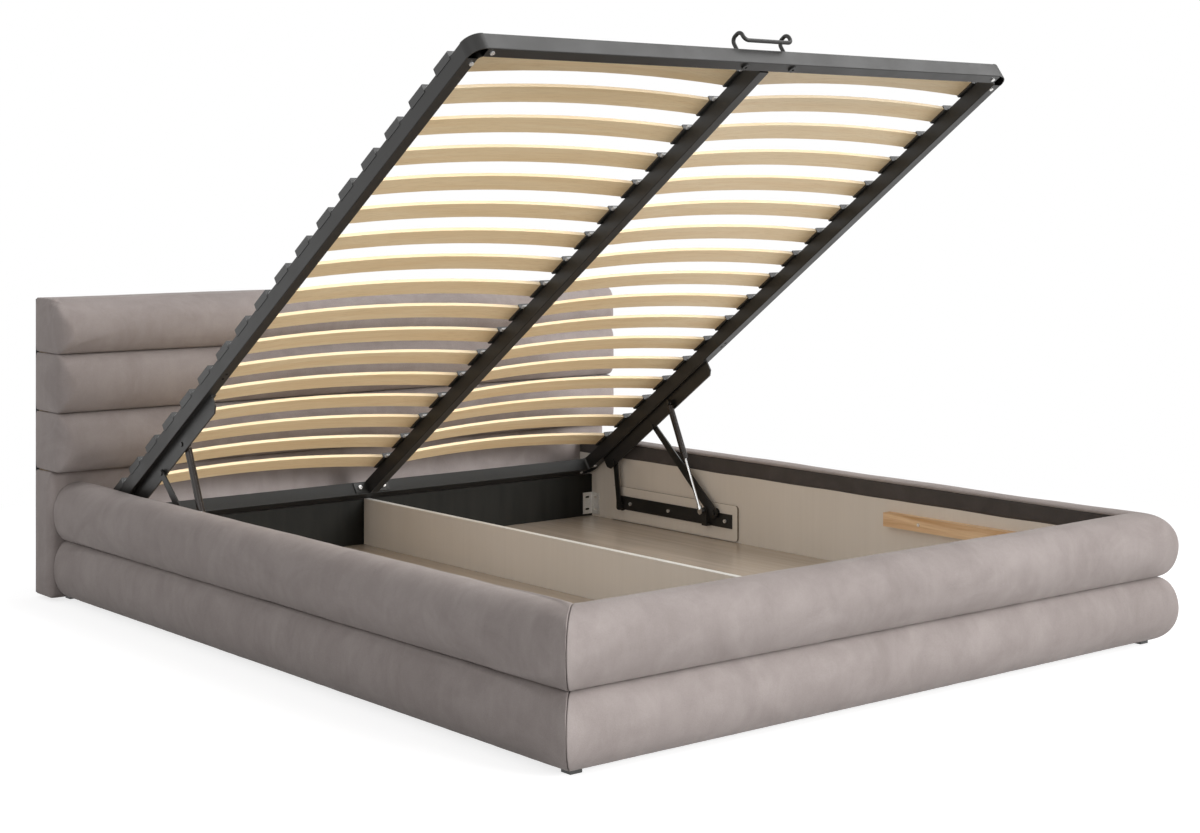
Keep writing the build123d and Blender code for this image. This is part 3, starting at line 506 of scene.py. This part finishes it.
PUCKER_REACH = 0.018
SEAM_CLEAR = 0.012


def hand_dressed(piece, seams, dent, pucker):
    """Soft dents all over and small puckers that start from the seams, as a fitted cover has.
    seams gives a point's distance to the nearest seam and its place along it."""
    mesh = piece.data
    normals = [point.normal.copy() for point in mesh.vertices]
    moved = []
    for point, normal in zip(mesh.vertices, normals):
        place = point.co
        away, along = seams(place)
        wide = noise.noise(place * 4.5)
        narrow = noise.noise(place * 11.0 + Vector((3, 1, 7)))
        broad = wide * 0.65 + narrow * 0.35
        near = math.exp(-away / PUCKER_REACH)
        fold = noise.noise(Vector((along * 38.0, away * 9.0, 2.5)))
        clear = min(1.0, away / SEAM_CLEAR)
        moved.extend(place + normal * (broad * dent * clear + fold * near * pucker * clear))
    mesh.vertices.foreach_set("co", moved)
    mesh.update()


def smoothed(piece):
    """One round of subdivision, applied, with smooth shading."""
    finer = piece.modifiers.new("finer", "SUBSURF")
    finer.levels = 1
    finer.render_levels = 1
    settled(piece)
    piece.data.shade_smooth()


def velvet_finish(name, dark, light, streak):
    """Short pile velvet: broad soft patches where the pile lies another way, finer brush
    marks, fibres, and a sheen at low angles."""
    made = finish(name, 0.85, Sheen_Weight=0.12, Sheen_Roughness=0.45, Specular_IOR_Level=0.25)
    shader_of(made).inputs["Sheen Tint"].default_value = (1.0, 0.96, 0.93, 1)
    patches = pattern(made, (5.0, 5.0, 6.5), detail=4.0, rough=0.56, warp=1.4)
    marks = pattern(made, streak, detail=4.0, rough=0.6, warp=0.6)
    fibres = pattern(made, (750, 750, 750), detail=3.0, rough=0.7)
    base = tones(made, patches, ((0.34, dark), (0.66, light)))
    brushed = tones(made, marks, ((0.3, (0.9, 0.897, 0.894)), (0.66, (1, 1, 1))))
    pile = tones(made, fibres, ((0.3, (0.8, 0.8, 0.8)), (0.68, (1, 1, 1))))
    coloured(made, laid_over(made, laid_over(made, base, brushed, 1.0), pile, 1.0))
    roughened(made, between(made, patches, 0.75, 0.95))
    first = raised(made, marks, 0.0006, 0.25)
    raised(made, fibres, 0.0005, 0.5, under=first)
    return made


velvet = velvet_finish("velvet", (0.338, 0.292, 0.278), (0.41, 0.359, 0.344), (26, 26, 12))


def padded_roll(name, corners, flanged, length, ends, to_place, cell):
    """One roll: its section drawn out, mitred, divided into even cells, and put in place."""
    shape = bmesh.new()
    section_face(shape, corners, ROLL_FULLNESS)
    if flanged:
        notch(shape, BOARD_INSET, BOARD_TOP)
    for edge in list(shape.edges):
        cuts = int(edge.calc_length() / cell)
        if cuts:
            bmesh.ops.subdivide_edges(shape, edges=[edge], cuts=cuts)
    drawn_out(shape, length)
    cut_off(shape, (MITRE_GAP, 0, 0), (-1, 1, 0))
    if ends == 2:
        cut_off(shape, (length - MITRE_GAP, 0, 0), (1, 1, 0))
    long_way = [
        edge for edge in shape.edges if abs(edge.verts[0].co.x - edge.verts[1].co.x) > length / 2
    ]
    bmesh.ops.subdivide_edges(shape, edges=long_way, cuts=round(length / cell), use_grid_fill=True)
    caps = [face for face in shape.faces if len(face.verts) > 4]
    bmesh.ops.inset_individual(shape, faces=caps, thickness=CAP_INSET, use_even_offset=True)
    shape.transform(to_place)
    return piece_from(shape, name)


foot_place = Matrix.Translation((-OUTER_HALF, FOOT_Y, 0))
left_place = Matrix(((0, 1, 0, -OUTER_HALF), (1, 0, 0, FOOT_Y), (0, 0, 1, 0), (0, 0, 0, 1)))
right_place = Matrix.Scale(-1, 4, (1, 0, 0)) @ left_place
ROLL_CELL = 0.0085
rolls = []
for level, corners, flanged in (("upper", UPPER_CORNERS, True), ("lower", LOWER_CORNERS, False)):
    for side, length, ends, to_place in (
        ("foot", FOOT_LENGTH, 2, foot_place),
        ("left", SIDE_LENGTH, 1, left_place),
        ("right", SIDE_LENGTH, 1, right_place),
    ):
        roll_name = f"{side}_{level}_roll_pad"
        roll = padded_roll(roll_name, corners, flanged, length, ends, to_place, ROLL_CELL)
        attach(roll, "bed_base")
        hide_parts(f"{side}_{level}_roll")
        rolls.append(roll)


def roll_depth_at(point):
    """How far in from the box's outside a point is, and how far along its side."""
    side_in = OUTER_HALF - abs(point.x)
    foot_in = point.y - FOOT_Y
    return (foot_in, point.x) if foot_in < side_in else (side_in, point.y)


def off_mitre(point):
    """How far a point is from the mitre, along its side."""
    return abs((OUTER_HALF - abs(point.x)) - (point.y - FOOT_Y))


SEAM_HOLD = 0.004
BOARD_HOLD = 0.066
FOLD_HOLD = 0.086
SQUARE_TO_MITRE = 0.707


def roll_held(piece, point):
    """Whether a roll's cover is sewn or stapled at that point."""
    inward = roll_depth_at(point)[0]
    if off_mitre(point) < SEAM_HOLD or point.y > SIDE_LENGTH + FOOT_Y - SEAM_HOLD:
        return True
    if "upper" in piece.name:
        on_board = inward > BOARD_HOLD and point.z < BOARD_TOP
        return on_board or inward > FOLD_HOLD or point.z < ROLL_SPLIT + SEAM_HOLD
    return (
        inward > BOARD_HOLD or point.z > ROLL_SPLIT - SEAM_HOLD or point.z < ROLL_LOW + SEAM_HOLD
    )


def roll_seams(point):
    """A point's distance to the nearest seam of the rolls, and its place along it."""
    inward, along = roll_depth_at(point)
    mitre = off_mitre(point) * SQUARE_TO_MITRE
    groove = abs(point.z - ROLL_SPLIT) + inward * 0.15
    hem = abs(point.z - ROLL_LOW)
    if mitre < min(groove, hem):
        return mitre, point.z
    return min(groove, hem), along


swollen(rolls, roll_held, reach=0.002)
for roll in rolls:
    hand_dressed(roll, roll_seams, dent=0.0022, pucker=0.0016)
    smoothed(roll)
    roll.data.materials.clear()
    roll.data.materials.append(velvet)

# Flaps. A strip of the cover, its velvet a darker copy as painted shade, folded over the top of
# each side and of the foot and stapled down the inside of the board.
# The flaps' velvet is the cover's velvet painted darker: painted shade inside the box, not a darker
# cloth.
flap_velvet = velvet_finish(
    "flap_velvet", (0.075, 0.066, 0.063), (0.105, 0.093, 0.089), (30, 30, 16)
)
FLAP_OUT, FLAP_IN = 0.0903, 0.0918
FLAP_LOW = 0.245
FLAP_TOP = 0.2875
FLAP_CELL = 0.012
HEM_WAVE = 0.0015
HEM_STAND = 0.0006
UPRIGHT = Matrix.Rotation(math.pi / 2, 3, "X")


def flap_strip(name, length, to_place, node):
    """The strip stands upright, its hem a little wavy, and gets its thickness from its face."""
    shape = bmesh.new()
    steps = round(length / FLAP_CELL)
    bmesh.ops.create_grid(shape, x_segments=steps, y_segments=6, size=0.5)
    bmesh.ops.scale(shape, verts=shape.verts, vec=(length, FLAP_TOP - FLAP_LOW, 1))
    bmesh.ops.rotate(shape, verts=shape.verts, cent=(0, 0, 0), matrix=UPRIGHT)
    middle = (length / 2, FLAP_OUT, (FLAP_TOP + FLAP_LOW) / 2)
    bmesh.ops.translate(shape, verts=shape.verts, vec=middle)
    for point in shape.verts:
        loose = (FLAP_TOP - point.co.z) / (FLAP_TOP - FLAP_LOW)
        point.co.z += noise.noise(Vector((point.co.x * 7, 4, 1))) * HEM_WAVE * loose
        point.co.y += abs(noise.noise(Vector((point.co.x * 16, 1, 9)))) * HEM_STAND * loose
    bmesh.ops.solidify(shape, geom=list(shape.faces), thickness=FLAP_OUT - FLAP_IN)
    shape.transform(to_place)
    strip = piece_from(shape, name)
    strip.data.shade_smooth()
    strip.data.materials.append(flap_velvet)
    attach(strip, "bed_base")
    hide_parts(node)


foot_flap_place = Matrix.Translation((FLAP_IN - OUTER_HALF, FOOT_Y, 0))
flap_strip("foot_flap_strip", FOOT_LENGTH - 2 * FLAP_IN, foot_flap_place, "foot_inner_flap")
side_flap_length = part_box("left_inner_flap")[1].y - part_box("left_inner_flap")[0].y
flap_start = Matrix.Translation((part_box("left_inner_flap")[0].y - FOOT_Y, 0, 0))
flap_strip("left_flap_strip", side_flap_length, left_place @ flap_start, "left_inner_flap")
flap_strip("right_flap_strip", side_flap_length, right_place @ flap_start, "right_inner_flap")

# Headboard. A board with a flat padded cover below and three padded channels above, each sewn
# through along its seam, all in the same velvet, its ends and top wrapped round to the back.
HEAD_HALF = 0.902
CORE_HALF = 0.890
FACE_Y = 0.9905
CORE_FRONT = 1.0165
CORE_REAR = 1.0865
CHANNEL_FRONT = 0.9205
GROOVE_Y = 0.9655
COVER_TOP = 0.3287
CHANNEL_HEIGHT = 0.1485
TOP_CHANNEL_LOW = 0.6257
HEAD_TOP = 0.765
CROWN_Z = 0.680
CORE_TOP = 0.753
PLAN_RADIUS = 0.038
COVER_RADIUS = 0.012
COVER_SETBACK = 0.002
SCALLOP_DEPTH = 0.002
OVERLAP = 0.02
CROWN_REACH = 0.110
FADE_DEPTH = 0.03
CHANNEL_CELL = 0.005
COVER_CELL = 0.006


def block(shape, low, high):
    """A box between two corners."""
    made = bmesh.ops.create_cube(shape, size=1)["verts"]
    size = Vector(high) - Vector(low)
    bmesh.ops.scale(shape, verts=made, vec=size)
    bmesh.ops.translate(shape, verts=made, vec=(Vector(low) + Vector(high)) / 2)


def channel_pad(name, low, high, corners, top_flange):
    """The padding in front of the core, drawn out from end to end, and the wraps round the
    core's ends and top; the even cells join them."""
    shape = bmesh.new()
    section_face(shape, corners)
    drawn_out(shape, 2 * HEAD_HALF)
    bmesh.ops.translate(shape, verts=shape.verts, vec=(-HEAD_HALF, 0, 0))
    for sign in (-1, 1):
        ends = sorted((sign * CORE_HALF, sign * HEAD_HALF))
        block(shape, (ends[0], GROOVE_Y + OVERLAP, low), (ends[1], CORE_REAR, high))
    if top_flange:
        block(shape, (-HEAD_HALF, CORE_FRONT - OVERLAP, CORE_TOP), (HEAD_HALF, CORE_REAR, high))
    pad = piece_from(shape, name)
    remeshed(pad, CHANNEL_CELL)
    for point in pad.data.vertices:
        beyond = abs(point.co.x) - (HEAD_HALF - PLAN_RADIUS)
        if beyond > 0:
            inset = PLAN_RADIUS - math.sqrt(max(0.0, PLAN_RADIUS ** 2 - beyond ** 2))
            depth = max(0.0, point.co.y - CHANNEL_FRONT)
            rounded = (depth ** 3 + inset ** 3) ** (1 / 3)
            fade = min(1.0, max(0.0, (CORE_FRONT - point.co.y) / FADE_DEPTH))
            point.co.y += (rounded - depth) * fade
            scallop = abs(2 * (point.co.z - low) / (high - low) - 1) ** 6
            drawn_in = SCALLOP_DEPTH * scallop * min(1, beyond / PLAN_RADIUS)
            point.co.x -= math.copysign(drawn_in, point.co.x)
    return pad


def channel_corners(low, high):
    """The corners of a channel's section, round between its seams."""
    front = (GROOVE_Y, (low + high) / 2, GROOVE_Y - CHANNEL_FRONT, (high - low) / 2)
    return ((CORE_FRONT, high, 0, 0), front, front, (CORE_FRONT, low, 0, 0))


head_pads = []
MIDDLE_LOW = COVER_TOP + CHANNEL_HEIGHT
for name, low, high in (("bottom", COVER_TOP, MIDDLE_LOW), ("middle", MIDDLE_LOW, TOP_CHANNEL_LOW)):
    corners = channel_corners(low, high)
    head_pads.append(channel_pad(f"{name}_channel_pad", low, high, corners, False))
top_corners = (
    (CORE_FRONT + OVERLAP, HEAD_TOP, 0, 0),
    (CHANNEL_FRONT + CROWN_REACH, CROWN_Z, CROWN_REACH, HEAD_TOP - CROWN_Z),
    (GROOVE_Y, CROWN_Z, GROOVE_Y - CHANNEL_FRONT, CROWN_Z - TOP_CHANNEL_LOW),
    (CORE_FRONT, TOP_CHANNEL_LOW, 0, 0),
)
head_pads.append(channel_pad("top_channel_pad", TOP_CHANNEL_LOW, HEAD_TOP, top_corners, True))

shape = bmesh.new()
block(shape, (-HEAD_HALF, FACE_Y, ROLL_LOW), (HEAD_HALF, CORE_FRONT, COVER_TOP))
for sign in (-1, 1):
    ends = sorted((sign * CORE_HALF, sign * HEAD_HALF))
    block(shape, (ends[0], FACE_Y + COVER_SETBACK, ROLL_LOW), (ends[1], CORE_REAR, COVER_TOP))
lower_pad = piece_from(shape, "lower_cover_pad")
remeshed(lower_pad, COVER_CELL)
for point in lower_pad.data.vertices:
    beyond = abs(point.co.x) - (HEAD_HALF - COVER_RADIUS)
    if beyond > 0:
        rise = math.sqrt(max(0.0, COVER_RADIUS ** 2 - beyond ** 2))
        point.co.y = max(point.co.y, FACE_Y + COVER_RADIUS - rise)
head_pads.append(lower_pad)

PAD_SEAMS = {
    "bottom_channel_pad": (COVER_TOP, MIDDLE_LOW),
    "middle_channel_pad": (MIDDLE_LOW, TOP_CHANNEL_LOW),
    "top_channel_pad": (TOP_CHANNEL_LOW, 1.0),
    "lower_cover_pad": (ROLL_LOW, COVER_TOP),
}
WRAP_HOLD = 0.006
FLAT_TOP = 0.31


def head_held(piece, point):
    """Whether a headboard pad's cover is sewn or stapled at that point."""
    low, high = PAD_SEAMS[piece.name]
    if point.z < low + SEAM_HOLD or point.z > high - SEAM_HOLD or point.y > CORE_REAR - SEAM_HOLD:
        return True
    if piece.name == "lower_cover_pad" and point.z < FLAT_TOP and abs(point.x) < OUTER_HALF:
        return True
    return point.y > CORE_FRONT - WRAP_HOLD and abs(point.x) < CORE_HALF + WRAP_HOLD


def head_seams(point):
    """A point's distance to the nearest seam of the headboard, and its place along it."""
    to_seam = min(abs(point.z - seam) for seam in (COVER_TOP, MIDDLE_LOW, TOP_CHANNEL_LOW))
    return to_seam + max(0.0, point.y - CORE_FRONT) * 0.3, point.x + point.y


swollen(head_pads, head_held, reach=0.003)
head_nodes = (
    "headboard_channel_bottom",
    "headboard_channel_middle",
    "headboard_channel_top",
    "headboard_lower_cover",
)
for pad, node in zip(head_pads, head_nodes):
    pad_dent = 0.0 if pad is lower_pad else 0.0018
    hand_dressed(pad, head_seams, dent=pad_dent, pucker=0.0012)
    smoothed(pad)
    pad.data.materials.clear()
    pad.data.materials.append(velvet)
    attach(pad, "bed_base")
    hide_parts(node)

# Lining. Black non-woven cloth stretched over the headboard's back, lying flat near its edges.
lining = finish("lining", 0.9)
lining_web = pattern(lining, (240, 240, 240), detail=5.0, rough=0.7)
web_tones = ((0.3, (0.008, 0.008, 0.008)), (0.7, (0.022, 0.021, 0.021)))
coloured(lining, tones(lining, lining_web, web_tones))
raised(lining, lining_web, 0.0004, 0.5)
LINING_MARGIN = 0.004
LINING_OFF = 0.0026
LINING_SHEET = 0.0012
LINING_WAVE = 0.0008
LINING_EDGE = 0.08
LINING_WIDTH = 2 * (HEAD_HALF - LINING_MARGIN)
LINING_HEIGHT = HEAD_TOP - ROLL_LOW - 2 * LINING_MARGIN
shape = bmesh.new()
bmesh.ops.create_grid(shape, x_segments=90, y_segments=40, size=0.5)
bmesh.ops.scale(shape, verts=shape.verts, vec=(LINING_WIDTH, LINING_HEIGHT, 1))
bmesh.ops.rotate(shape, verts=shape.verts, cent=(0, 0, 0), matrix=UPRIGHT)
for point in shape.verts:
    edge_gap = min(LINING_WIDTH / 2 - abs(point.co.x), LINING_HEIGHT / 2 - abs(point.co.z))
    point.co.y += noise.noise(point.co * 6) * LINING_WAVE * min(1.0, edge_gap / LINING_EDGE)
lining_middle = (0, CORE_REAR + LINING_OFF, ROLL_LOW + LINING_MARGIN + LINING_HEIGHT / 2)
bmesh.ops.translate(shape, verts=shape.verts, vec=lining_middle)
bmesh.ops.solidify(shape, geom=list(shape.faces), thickness=LINING_SHEET)
back_sheet = piece_from(shape, "back_lining_sheet")
back_sheet.data.shade_smooth()
back_sheet.data.materials.append(lining)
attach(back_sheet, "bed_base")
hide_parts("headboard_back_lining")

# Corner brackets of zinc plated sheet, and the bright screws, bolts and rivets.


def plated_finish(name, dark, light, gloss, spangle, metallic=0.6):
    """Zinc plating, with its crystals faintly seen."""
    made = finish(name, gloss, metallic=metallic)
    tree = made.node_tree
    place = tree.nodes.new("ShaderNodeTexCoord")
    crystals = tree.nodes.new("ShaderNodeTexVoronoi")
    crystals.inputs["Scale"].default_value = spangle
    tree.links.new(place.outputs["Object"], crystals.inputs["Vector"])
    haze = pattern(made, (40, 40, 40), detail=4.0)
    base = tones(made, crystals.outputs["Distance"], ((0.0, light), (0.6, dark)))
    shade = tones(made, haze, ((0.3, (0.86, 0.86, 0.85)), (0.7, (1, 1, 1))))
    coloured(made, laid_over(made, base, shade, 1.0))
    roughened(made, between(made, haze, gloss - 0.06, gloss + 0.12))
    return made


zinc = plated_finish("zinc", (0.78, 0.77, 0.75), (0.95, 0.94, 0.92), 0.42, 260)
bright = plated_finish("bright_steel", (0.84, 0.83, 0.82), (0.96, 0.96, 0.95), 0.24, 420)
dress(zinc, "corner_brackets")
dress(bright, "rail_bolts", "batten_screws", "frame_rivets", "plate_bolts")

# Lift mechanism and slat frame in black powder coated steel: rails, links, brackets, tubes, the
# retainer and the pins. The head tube, at the bottom of the raised frame, gets a darker copy of the
# coat with weaker reflections: painted shade for the shadow of the slats on it.


def coated_finish(name, dark, light, gloss, scale, specular=0.45):
    """Powder coat: a fine orange peel, and a little dust and rubbing."""
    made = finish(name, gloss, Specular_IOR_Level=specular)
    peel = pattern(made, (scale, scale, scale), detail=2.0)
    rub = pattern(made, (9, 9, 9), detail=6.0, rough=0.65)
    coloured(made, tones(made, rub, ((0.35, dark), (0.7, light))))
    roughened(made, between(made, rub, gloss - 0.05, gloss + 0.12))
    raised(made, peel, 0.00008, 0.35)
    return made


black_steel = coated_finish(
    "black_steel", (0.011, 0.0105, 0.0095), (0.019, 0.018, 0.0165), 0.36, 900
)
dress(
    black_steel,
    "left_mechanism_rail", "right_mechanism_rail", "left_rear_link", "right_rear_link",
    "left_front_link", "right_front_link", "left_frame_bracket", "right_frame_bracket",
    "left_side_tube", "right_side_tube", "foot_tube", "centre_beam", "beam_end_plates",
    "frame_corner_pieces", "mattress_retainer", "retainer_bolts", "base_pivot_pins",
    "frame_pivot_pins",
)
# Darker colour and weaker reflections for the head tube: painted shade of the slats above it.
dull_steel = coated_finish(
    "dull_steel", (0.009, 0.009, 0.008), (0.018, 0.0175, 0.016), 0.5, 900, specular=0.3
)
dress(dull_steel, "head_tube")

# Gas springs: a black lacquered cylinder and a ground, chromed rod.
lacquer = coated_finish(
    "cylinder_lacquer", (0.014, 0.0095, 0.007), (0.024, 0.017, 0.013), 0.16, 300
)
dress(lacquer, "left_gas_cylinder", "right_gas_cylinder")
chrome = plated_finish("chrome_rod", (0.7, 0.7, 0.7), (0.86, 0.86, 0.86), 0.1, 30, metallic=1.0)
dress(chrome, "left_gas_rod", "right_gas_rod")

# Slats. Bowed beech, steamed and glued in layers, under a clear lacquer, with grain along them.
beech = timber_finish(
    "beech", (0.98, 0.79, 0.51), (0.92, 0.7, 0.41), (1.3, 34, 34), (14, 420, 420), 0.38
)
dress(beech, "slats_left", "slats_right")

# Slat holders of black moulded plastic and their light grey tongues; glides of the same black.


def moulded_finish(name, dark, light, gloss):
    """Moulded plastic with a fine skin."""
    made = finish(name, gloss, Specular_IOR_Level=0.7)
    skin = pattern(made, (600, 600, 600), detail=2.0)
    haze = pattern(made, (12, 12, 12), detail=4.0)
    coloured(made, tones(made, haze, ((0.3, dark), (0.7, light))))
    roughened(made, between(made, haze, gloss - 0.04, gloss + 0.1))
    raised(made, skin, 0.0001, 0.3)
    return made


black_plastic = moulded_finish("black_plastic", (0.012, 0.012, 0.0115), (0.024, 0.024, 0.023), 0.42)
grey_plastic = moulded_finish("grey_plastic", (0.64, 0.64, 0.63), (0.76, 0.76, 0.75), 0.4)
dress(black_plastic, "side_slat_holders", "centre_slat_holders", "glides")
dress(grey_plastic, "slat_tongues")
